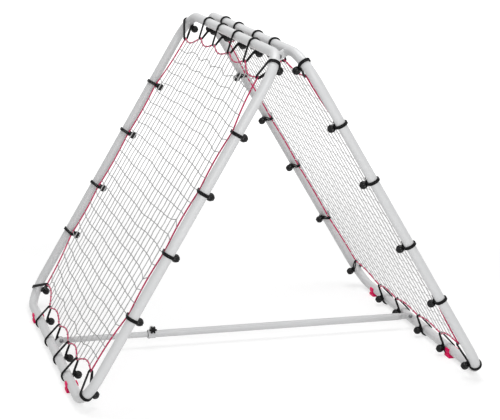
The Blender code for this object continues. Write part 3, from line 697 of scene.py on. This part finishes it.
def netSource(name, side):
    # A mesh of the net's edges, each with a middle point that is a little off the straight.
    rng = np.random.default_rng(net["seed"] + side)
    grid = relaxedGrid(name, rng)
    rows, columns = net["rows"], net["columns"]
    points = [Vector((side * panel["standoff"], y, z)) for y, z in grid.reshape(-1, 2)]
    edges, isRow = [], []
    for start, (row, column) in enumerate(np.ndindex(rows + 1, columns + 1)):
        for end, wanted, alongRow in (
                (start + 1, column < columns and 0 < row < rows, True),
                (start + columns + 1, row < rows and 0 < column < columns, False)):
            if wanted:
                edges += [(start, len(points)), (len(points), end)]
                isRow += [alongRow, alongRow]
                points.append((points[start] + points[end]) / 2
                              + Vector(rng.normal(0.0, net["slack"], 3)))
    mesh = bpy.data.meshes.new("net")
    mesh.from_pydata(points, edges, [])
    knots = np.pad(np.ones((rows - 1, columns - 1), bool), 1)
    tangents = np.zeros((*knots.shape, 3), np.float32)
    tangents[:, (0, -1)] = (0.0, 0.0, 1.0)
    tangents[(0, -1), :] = (0.0, 1.0, 0.0)
    middles = np.zeros(len(points) - knots.size, bool)
    addAttribute(mesh, "knot", "BOOLEAN", np.append(knots, middles))
    addAttribute(mesh, "edge", "BOOLEAN", np.append(~knots, middles))
    addAttribute(mesh, "row", "BOOLEAN", isRow, "EDGE")
    addAttribute(mesh, "tangent", "FLOAT_VECTOR", np.append(tangents, np.repeat(middles, 3)))
    return newObject("netSource", mesh)


def buildNets():
    for name, side in sideOf.items():
        body, place = f"frame_{name}", panelPlace(side)
        values = {"Cord": net["cordRadius"], "Cross Cord": net["crossRadius"][name],
                  "Loop Cord": net["loopCord"], "Sides": net["cordSides"],
                  "Knot": net["knotRadius"][name], "Loop": net["loopRadius"],
                  "Seed": net["knotSeed"], "Finish": netCords[name]}
        cords = madeBy(netTree, netSource(name, side), values)
        addPiece(f"net_cords_{name}", cords, netCords[name], body, [f"net_{name}"], 80.0, place)
        path = [(side * panel["standoff"], *point) for edge in inwardOf
                for point in borderEdge(name, edge)[:-1]]
        border = tubeMesh([path], net["borderRadius"], net["borderSides"], borderCord, True)
        addPiece(f"border_{name}", border, borderCord, body, [f"border_cord_{name}"], 80.0, place)


buildNets()
print("nets ready")


# Ball ties, in their own axes: origin on the rail's centre line, +X towards the net,
# +Y outwards from the panel, the rail along Z.

tie = {
    "cord": 0.0027,           # radius of one strand of the doubled elastic
    "cordSides": 8, "gap": 0.0001, "eyeGap": 0.0002,
    "pair": 0.0028,           # from the pair's middle to each strand
    "spreadIn": 0.0024,       # how much further apart they are on the way back to the ball
    "insideShare": 0.7, "neckShare": 0.9, "inside": 0.4,
    "wrapSteps": 22, "eyeSteps": 10, "runSteps": 8, "backSteps": 10,
    "ball": (0.018, -0.029),  # the ball's centre
    "ballRadius": 0.0137, "ballSides": 40, "lobes": 5, "flute": 0.20, "crownFlute": 0.46,
    "firstAngle": 58.0, "angleStep": 11.2, "angleSteps": 11, "neck": 0.0165,
    "neckRim": [(0.0032, 0.002), (0.0058, 0.0015), (0.0064, -0.001)],
    # The dished crown: radius, height over the ball's radius, and share of the crown's flute.
    "crown": [(0.0074, -0.89, 0.8), (0.0066, -0.84, 0.5), (0.0052, -0.70, 0.0),
              (0.0008, -0.68, 0.0)],
    "hookRadius": 0.0078, "hookDrop": 0.0022, "hookSteps": 20,
    "cornerAngle": radians(45), "lowFarAngle": radians(30), "tilt": 0.018, "seed": 23,
}


def straightRun(start, end, steps):
    return [tuple(start[n] + (end[n] - start[n]) * k / steps for n in (0, 1))
            for k in range(1, steps)]


def strandRuns(reach):
    # The doubled elastic: out of the ball, round the rail, round the border and back.
    x, y = tie["ball"]
    neck, inside = (x, y + tie["neck"]), (x, y + tie["inside"] * tie["neck"])
    fromBorder = (x - reach, neck[1])
    roundRail = panel["tubeRadius"] + tie["cord"] + tie["gap"]
    roundBorder = net["borderRadius"] + tie["cord"] + tie["eyeGap"]
    first = atan2(neck[1], x) - acos(roundRail / hypot(*neck))
    lean = acos((roundRail - roundBorder) / reach)
    last = atan2(fromBorder[1], fromBorder[0]) + acos(roundBorder / hypot(*fromBorder))
    wrap = arc((0, 0), roundRail, first, lean - 2 * pi - first, tie["wrapSteps"])
    eye = arc((reach, 0), roundBorder, lean, last - lean, tie["eyeSteps"])
    out = wrap + straightRun(wrap[-1], eye[0], tie["runSteps"]) + eye
    back = straightRun(eye[-1], neck, tie["backSteps"])
    runs = []
    for hand in (-1, 1):
        flat = hand * tie["pair"]
        deep = (*inside, flat * tie["insideShare"])
        points = [deep, (*neck, flat * tie["neckShare"]), *((*spot, flat) for spot in out)]
        points += [(*spot, flat + hand * tie["spreadIn"] * sin(pi * (n + 1) / tie["backSteps"]))
                   for n, spot in enumerate(back)]
        runs.append(points + [(*neck, flat), deep])
    return runs


def ballMesh():
    # A fluted ball with a neck towards the rail and a dished crown.
    x, y = tie["ball"]
    radius = tie["ballRadius"]
    profile = [(reach, tie["neck"] + rise, 0.0) for reach, rise in tie["neckRim"]]
    for step in range(tie["angleSteps"]):
        angle = radians(tie["firstAngle"] - step * tie["angleStep"])
        crown = max(0.0, -sin(angle)) ** 2
        profile.append((radius * cos(angle), radius * sin(angle),
                        tie["flute"] * cos(angle) ** 2 + tie["crownFlute"] * crown))
    profile += [(reach, height * radius, share * tie["crownFlute"])
                for reach, height, share in tie["crown"]]
    lobes = [(0.5 - 0.5 * cos(tie["lobes"] * turn)) ** 2 for turn in around(tie["ballSides"])]
    return loftMesh([ring([reach * (1 - flute * lobe) for lobe in lobes], y + along, x)
                     for reach, along, flute in profile])


def tieCords(reach):
    # The two strands, and the loop's end hooked over the ball's neck.
    x, y = tie["ball"]
    hook = ring([tie["hookRadius"]] * tie["hookSteps"], y + tie["neck"] - tie["hookDrop"], x)
    return joinedMesh([tubeMesh(strandRuns(reach), tie["cord"], tie["cordSides"], elastic),
                       tubeMesh([hook], tie["cord"], tie["cordSides"], elastic, True)])


def cornerRail(corner):
    far, high = corner[0] > 0, corner[1] > -panel["length"] / 2
    angle = tie["lowFarAngle"] if far and not high else tie["cornerAngle"]
    y = panel["width"] / 2 - panel["bendRadius"] * (1 - cos(angle))
    drop = panel["bendRadius"] * (1 - sin(angle))
    return y if far else -y, -drop if high else drop - panel["length"]


def tiePlaces(name):
    # (rail point, border point, kind) of each tie: 0 on the ends, 1 on the sides, 2 at the
    # corners and 3 at the low far corner.
    places = []
    for edge, spots in edgeSpots(name).items():
        inward = inwardOf[edge]
        kind, margin = (0, net["endMargin"]) if inward[1] else (1, net["sideMargin"])
        for spot in spots[1:-1]:
            rail = (spot[0] - inward[0] * margin, spot[1] - inward[1] * margin)
            places.append((rail, spot, kind))
        places.append((cornerRail(spots[0]), spots[0], 3 if edge == "low" else 2))
    return places


def tieSource(name, side):
    places = tiePlaces(name)
    rng = np.random.default_rng(tie["seed"] + side)
    mesh = bpy.data.meshes.new("ties")
    mesh.from_pydata([(side * panel["standoff"], *rail) for rail, _, _ in places], [], [])
    turns = []
    for rail, border, _ in places:
        toward = Vector((0, border[0] - rail[0], border[1] - rail[1])).normalized()
        outward = Vector((side, 0, 0))
        turn = Matrix((toward, outward, toward.cross(outward))).transposed()
        turn = turn @ spin(rng.uniform(-tie["tilt"], tie["tilt"]), 3, "Y")
        turns.extend(turn.to_euler())
    addAttribute(mesh, "turn", "FLOAT_VECTOR", turns)
    addAttribute(mesh, "kind", "INT", [kind for _, _, kind in places])
    return newObject("tieSource", mesh)


def buildTies():
    ball = ballMesh()
    ball.shade_smooth()
    for name, side in sideOf.items():
        cords, balls = {}, {}
        for rail, border, kind in tiePlaces(name):
            label = tieKinds[kind]
            if label not in cords:
                reach = hypot(rail[0] - border[0], rail[1] - border[1])
                cords[label] = newObject("cordShape", tieCords(reach))
                balls[label] = newObject("ballShape", ball)
        nodes = [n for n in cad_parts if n.startswith(f"ball_bungee_{name}_")]
        parts = (("cords", cords, elastic, nodes), ("balls", balls, ballPlastic, ()))
        for part, shapes, material, replaced in parts:
            mesh = madeBy(tieTree, tieSource(name, side), {**shapes, "Finish": material})
            addPiece(f"tie_{part}_{name}", mesh, material, f"frame_{name}", replaced, 50.0,
                     panelPlace(side))
        for shape in (*cords.values(), *balls.values()):
            bpy.data.objects.remove(shape, do_unlink=True)


buildTies()
print("ties ready")


# Rubber feet, in axes on the rail's centre line, sole level

foot = {
    "spacing": 0.800, "creep": {"a": 0.0, "b": 0.050}, "sole": 0.006, "length": 0.042,
    "width": 0.038, "wall": 0.004, "saddle": 0.030, "tabRise": 0.008, "gap": 0.0003,
    "grooves": 4, "groovePitch": 0.0090, "groove": 0.0022, "sides": 56, "voxel": 0.0010,
}


def footMesh():
    tube = panel["tubeRadius"] + foot["gap"]
    outer = tube + foot["wall"]
    length, half = foot["length"], foot["saddle"] / 2
    low = -panel["soleToTube"]
    soleTop = foot["sole"] / 2 - panel["tubeRadius"]
    sole = boxMesh((foot["width"], length, soleTop - low), (0, 0, (soleTop + low) / 2))
    cuts = [boxMesh((3 * outer, length, outer), (0, 0, foot["tabRise"] + outer / 2)),
            turnedMesh([(tube, -length), (tube, length)], foot["sides"])]
    for groove in range(foot["grooves"]):
        y = (groove - (foot["grooves"] - 1) / 2) * foot["groovePitch"]
        cuts.append(boxMesh((foot["width"] * 1.2, foot["groove"], foot["groove"]), (0, y, low)))
    saddle = turnedMesh([(outer, -half), (outer, half)], foot["sides"])
    soft = newObject("foot", joinedMesh([combinedMesh(saddle, [sole], cuts)], weld=True))
    modify(soft, "REMESH", mode="VOXEL", voxel_size=foot["voxel"])
    modify(soft, "SMOOTH", factor=0.5, iterations=3)
    return plainMesh(soft)


def buildFeet():
    mesh = footMesh()
    for name, side in sideOf.items():
        level = spin(side * panel["halfAngle"], 4, "Y")
        for end, share in ends.items():
            y = share * foot["spacing"] + foot["creep"][name]
            spot = (side * panel["standoff"], y, -panel["length"])
            addPiece(f"rubberFoot_{name}_{end}", mesh.copy(), redRubber, f"frame_{name}",
                     [f"foot_{name}_{end}"], 60.0, panelPlace(side) @ shift(spot) @ level)


buildFeet()
print("feet ready")


# Bolts and nuts on the Y axis; the grip lies about Y = 0

bolt = {
    "shank": 0.004, "end": 0.002, "pitch": 0.00125, "thread": 0.0005, "tip": 0.0006,
    "head": 0.00725, "headHeight": 0.005, "socket": 0.0026, "socketDepth": 0.0022,
    "dome": [(0.55, 0.0001), (0.80, 0.0009), (0.95, 0.0024), (1.0, 0.0038)],
    "nut": 0.0075, "nutHeight": 0.0065, "chamfer": 0.0008,
    "washer": 0.0080, "washerBore": 0.0045, "washerPlate": 0.0009, "sides": 36,
}


def boltMesh(plate):
    # For a tongue between two plates of this thickness.
    face = lugs["tongue"] / 2 + 2 * lugs["gap"] + plate
    low, y = -face - bolt["headHeight"], face + bolt["nutHeight"]
    end = y + bolt["end"]
    bottom, socket, shank = low + bolt["socketDepth"], bolt["socket"], bolt["shank"]
    profile = [(bolt["tip"], bottom), (socket, bottom), (socket, low + 0.0002),
               (socket + 0.0004, low)]
    profile += [(share * bolt["head"], low + rise) for share, rise in bolt["dome"]]
    profile += [(bolt["head"], -face), (shank, -face), (shank, y)]
    while y < end:
        profile += [(shank, y), (shank - bolt["thread"], y + bolt["pitch"] / 2)]
        y += bolt["pitch"]
    profile += [(shank - bolt["tip"], y), (bolt["tip"], y)]
    nut = nutMesh(bolt["nut"], face, face + bolt["nutHeight"], bolt["chamfer"])
    inner, outer, top = bolt["washerBore"], bolt["washer"], face + bolt["washerPlate"]
    washer = turnedMesh([(inner, face), (outer, face), (outer, top), (inner, top)], bolt["sides"])
    return joinedMesh([turnedMesh(profile, bolt["sides"]), nut, washer])


def buildBolts():
    for end, share in ends.items():
        place = panelPlace(-1) @ shift((0, share * lugs["hingeSpacing"], 0))
        addPiece(f"hingeBolt_{end}", boltMesh(lugs["fork"]), zincPlate, "frame_a",
                 [f"hinge_bolt_{end}"], place=place)
    for name, side in sideOf.items():
        addPiece(f"barBolt_{name}", boltMesh(lugs["barCheek"]), zincPlate, f"frame_{name}",
                 [f"bar_bolt_{name}"], place=panelPlace(side) @ shift(barPivot(side)))


buildBolts()
print("bolts ready")


# Stay bar

bar = {
    "tongueRadius": 0.010, "tongueHalf": 0.003, "tongueLength": 0.026, "swage": 0.022,
    "tipSteps": 9, "swageSteps": 12, "squareness": 8.0, "sides": 40,
    "innerRadius": 0.010, "innerLength": 0.750, "innerWall": 0.0015, "innerDepth": 0.05,
    "outerRadius": 0.0125, "outerLength": 0.952, "bore": 0.0105, "outerDepth": 0.76,
    "clampLength": 0.026, "clampWall": 0.0022, "flange": 0.007, "flangeRise": 0.0008,
    "clampEdge": 0.0006, "clampGap": 0.0002, "clampSides": 64, "clampRounding": 0.0003,
    "earAt": 0.014, "earPlate": 0.004, "earRadius": 0.007, "earGap": 0.0003, "slit": 0.003,
    "screwRise": 0.021, "screwRadius": 0.003, "screwEnd": 0.0068, "thread": 0.0004,
    "pitch": 0.001, "nut": 0.0060, "nutHeight": 0.0052, "nutChamfer": 0.0007,
    "knobTip": 0.0135, "knobValley": 0.0078, "knobLobes": 6, "lobePower": 0.9,
    "knobThick": 0.012, "knobSides": 96, "hub": 0.0062, "hubEnd": 0.0175, "hubSides": 36,
    # The star's rings: (scale, depth) in from its back, and from its front face.
    "starBack": [(0.86, 0.0), (0.97, 0.0008), (1.0, 0.0022)],
    "starFront": [(1.0, 0.0026), (0.96, 0.0009), (0.84, 0.0), (0.52, 0.0001), (0.48, 0.0009),
                  (0.10, 0.0010)],
    "bush": 0.0012, "bushLip": 0.0006, "bushGap": 0.00025, "bushEdge": 0.0004, "bushSides": 48,
}


def stayTubeMesh(radius, length, heading, bore, depth):
    # A round tube whose pivot end is pressed flat into a rounded tongue. Each station is
    # (x, half height, half thickness, power), and its outline a superellipse.
    tip, half, square = bar["tongueRadius"], bar["tongueHalf"], bar["squareness"]
    start, swage = bar["tongueLength"], bar["swage"]
    stations = []
    for step in range(bar["tipSteps"]):
        x = -tip * cos(pi / 2 * (step + 0.12) / (bar["tipSteps"] - 0.88))
        stations.append((x, sqrt(max(tip * tip - x * x, 0.0)), half, square))
    stations.append((start, tip, half, square))
    for step in range(1, bar["swageSteps"] + 1):
        share = step / bar["swageSteps"]
        ease = share * share * (3 - 2 * share)
        stations.append((start + swage * share, tip + (radius - tip) * ease,
                         half + (radius - half) * ease,
                         square - (square - 2.0) * min(1.0, 1.6 * ease)))
    stations += [(x, reach, reach, 2.0) for x, reach in (
        (start + swage + 0.002, radius), (length - 0.0006, radius), (length, radius - 0.0005),
        (length, bore + 0.0002), (length - 0.001, bore), (length - depth, bore))]
    turns = [(cos(a), sin(a)) for a in around(bar["sides"])]
    tube = loftMesh([[(heading * x, thick * abs(c) ** (2 / power) * (1 if c >= 0 else -1),
                       tall * abs(s) ** (2 / power) * (1 if s >= 0 else -1)) for c, s in turns]
                     for x, tall, thick, power in stations])
    hole = turnedMesh([(lugs["hole"], -2 * tip), (lugs["hole"], 2 * tip)], 28)
    return combinedMesh(tube, [], [hole])


def alongX(mesh):
    # Turns a mesh made on the Y axis onto the X axis.
    return moved(mesh, spin(-pi / 2, 4, "Z"))


def clampMesh():
    # In axes on the outer tube's open end, the tube running towards +X.
    outer = bar["outerRadius"] + bar["clampWall"]
    rim = outer + bar["flangeRise"]
    edge, flange, length = bar["clampEdge"], bar["flange"], bar["clampLength"]
    profile = [(0.002, 0), (rim - edge, 0), (rim, edge), (rim, flange - edge),
               (rim - edge, flange), (outer, flange + 0.0002), (outer, length - 0.001),
               (outer - 0.001, length), (0.002, length)]
    body = alongX(turnedMesh(profile, bar["clampSides"]))
    x, radius = bar["earAt"], bar["earRadius"]
    outline = beltOutline((x, bar["screwRise"]), radius, (x, outer - 0.002), radius + 0.001)
    ears = plateMesh(outline, bar["slit"] + 2 * bar["earPlate"], edge)
    inner = bar["outerRadius"] + bar["clampGap"]
    room = alongX(turnedMesh([(inner, -0.01), (inner, length + 0.01)], bar["clampSides"]))
    slit = boxMesh((length * 2, bar["slit"], 0.05), (length / 2, 0, 0.025))
    return combinedMesh(body, [ears], [room, slit], bar["clampRounding"])


def bushMesh():
    # The black ring in the outer tube's open end, which the inner tube slides through.
    lip, slide = bar["outerRadius"] + bar["bushLip"], bar["innerRadius"] + bar["bushGap"]
    edge, end = bar["bushEdge"], -bar["bush"]
    profile = [(slide, end), (lip - edge, end), (lip, end + edge), (lip, -0.0001),
               (slide, -0.0001)]
    return alongX(turnedMesh(profile, bar["bushSides"], close=True))


def knobMesh(earFace):
    # The star and its hub on the screw's axis, with the star at -Y.
    back = -bar["hubEnd"]
    face = back - bar["knobThick"]
    outline = [bar["knobValley"] + (bar["knobTip"] - bar["knobValley"])
               * (0.5 + 0.5 * cos(bar["knobLobes"] * turn)) ** bar["lobePower"]
               for turn in around(bar["knobSides"])]
    levels = [(scale, back - depth) for scale, depth in bar["starBack"]]
    levels += [(scale, face + depth) for scale, depth in bar["starFront"]]
    star = loftMesh([ring([radius * scale for radius in outline], y) for scale, y in levels])
    hub = turnedMesh([(0.002, -earFace), (bar["hub"], -earFace), (bar["hub"], back - 0.004),
                      (0.002, back - 0.004)], bar["hubSides"])
    return joinedMesh([star, hub])


def screwMesh(earFace):
    y, end, radius = -bar["hubEnd"], earFace + bar["screwEnd"], bar["screwRadius"]
    profile = [(0.0008, y - 0.002)]
    while y < end:
        profile += [(radius, y), (radius - bar["thread"], y + bar["pitch"] / 2)]
        y += bar["pitch"]
    return turnedMesh(profile + [(radius - 0.0006, end + 0.0004), (0.0008, end + 0.0004)], 28)


def buildBar():
    pivotA, pivotB = (panelPlace(side) @ Vector(barPivot(side)) for side in (-1, 1))
    bore = bar["innerRadius"] - bar["innerWall"]
    inner = stayTubeMesh(bar["innerRadius"], bar["innerLength"], 1, bore, bar["innerDepth"])
    outer = stayTubeMesh(bar["outerRadius"], bar["outerLength"], -1, bar["bore"],
                         bar["outerDepth"])
    endPlace = shift(pivotB - Vector((bar["outerLength"], 0, 0)))
    screwPlace = endPlace @ shift((bar["earAt"], 0, bar["screwRise"]))
    earFace = bar["slit"] / 2 + bar["earPlate"] + bar["earGap"]
    nut = nutMesh(bar["nut"], earFace, earFace + bar["nutHeight"], bar["nutChamfer"])
    addPiece("stayInner", inner, shadedBarCoat, "bar_inner", ["bar_inner_tube"], place=shift(pivotA))
    addPiece("stayOuter", outer, shadedBarCoat, "bar_outer", ["bar_outer_tube"], place=shift(pivotB))
    addPiece("clampRing", clampMesh(), shadedBarCoat, "bar_outer", ["clamp_collar"], place=endPlace)
    addPiece("slideBush", bushMesh(), knobPlastic, "bar_outer", place=endPlace)
    addPiece("clampNut", nut, zincPlate, "bar_outer", ["clamp_nut"], place=screwPlace)
    addPiece("starKnob", knobMesh(earFace), knobPlastic, "lock_knob", ["star_knob"], 35.0,
             screwPlace)
    addPiece("clampScrew", screwMesh(earFace), zincPlate, "lock_knob", place=screwPlace)


buildBar()
print("stay bar ready")


# Floor, lights and camera

stage = {
    "floorSize": 60.0, "floorDrop": 0.0002, "worldLight": 0.40,
    # The floor's own glow, how much of it shows near the object, and how far from the middle
    # it starts to take over. Half of 1.28 and half of the lit floor come to white.
    "glow": 1.28, "nearShare": 0.50, "shadowReach": 1.6,
    "lamps": [("keyLamp", (-0.3, -5.0, 2.2), 2.6, 104.0), ("topLamp", (0.3, 0.3, 4.0), 2.8, 70.0)],
    "lampTarget": (0.0, 0.0, 0.5),
    "cameraPlace": (-1.3799, -5.4399, 1.7145), "cameraYaw": 14.5728, "cameraPitch": -12.5391,
    "cameraRoll": 0.2028, "focal": 1677.92, "imageWidth": 500, "sensor": 36.0,
}
white = (1, 1, 1, 1)


def seenDirectly(nodes):
    # 1 to the camera, to reflections and through glass, and 0 to the light that bounces.
    path = nodes.node("ShaderNodeLightPath", {}, {}, "Is Camera Ray")
    return (path + path.other("Is Glossy Ray") + path.other("Is Transmission Ray")).clamped()


def makeFloorFinish():
    finish = Finish("floorFinish", 0.9)
    finish.set(Base_Color=finish.mixed(finish.noise(3.0), (0.90,) * 3, (0.92,) * 3))
    glow = finish.node("ShaderNodeEmission", {}, {"Color": white, "Strength": stage["glow"]})
    reach = finish.node("ShaderNodeVectorMath", {"operation": "LENGTH"}, {0: finish.place()}, 1)
    far = ((reach - stage["shadowReach"]) * 0.5).clamped()
    share = far * (1 - stage["nearShare"]) + stage["nearShare"]
    lit = Wire(finish, finish.shader.outputs[0])
    mix = finish.node("ShaderNodeMixShader", {}, {0: seenDirectly(finish) * share, 1: lit, 2: glow})
    finish.link(mix, finish.tree.nodes["Material Output"].inputs[0])
    return finish.material


def buildStage():
    body = bmesh.new()
    bmesh.ops.create_grid(body, x_segments=1, y_segments=1, size=stage["floorSize"] / 2)
    floor = moved(meshOf(body, "floor"), shift((0, 0, -stage["floorDrop"])))
    floor.materials.append(makeFloorFinish())
    newObject("floor", floor)
    world = adjusted(bpy.data.worlds.new("studio"), use_nodes=True)
    bpy.context.scene.world = world
    nodes = Nodes(world.node_tree)
    background = world.node_tree.nodes["Background"]
    nodes.link(white, background.inputs["Color"])
    nodes.link(seenDirectly(nodes) * (1 - stage["worldLight"]) + stage["worldLight"],
               background.inputs["Strength"])
    for name, place, size, power in stage["lamps"]:
        lamp = adjusted(bpy.data.lights.new(name, "AREA"), shape="DISK", size=size, energy=power)
        aim = Vector(stage["lampTarget"]) - Vector(place)
        adjusted(newObject(name, lamp), location=place,
                 rotation_euler=aim.to_track_quat("-Z", "Y").to_euler())


def buildCamera():
    camera = newObject("view", bpy.data.cameras.new("view"))
    camera.data.sensor_width = stage["sensor"]
    camera.data.lens = stage["focal"] * stage["sensor"] / stage["imageWidth"]
    turn = (spin(-radians(stage["cameraYaw"]), 4, "Z")
            @ spin(radians(90 + stage["cameraPitch"]), 4, "X")
            @ spin(radians(stage["cameraRoll"]), 4, "Z"))
    camera.matrix_world = shift(stage["cameraPlace"]) @ turn
    bpy.context.scene.camera = camera
    bpy.context.scene.view_settings.view_transform = "Standard"


buildStage()
buildCamera()
print("stage ready")
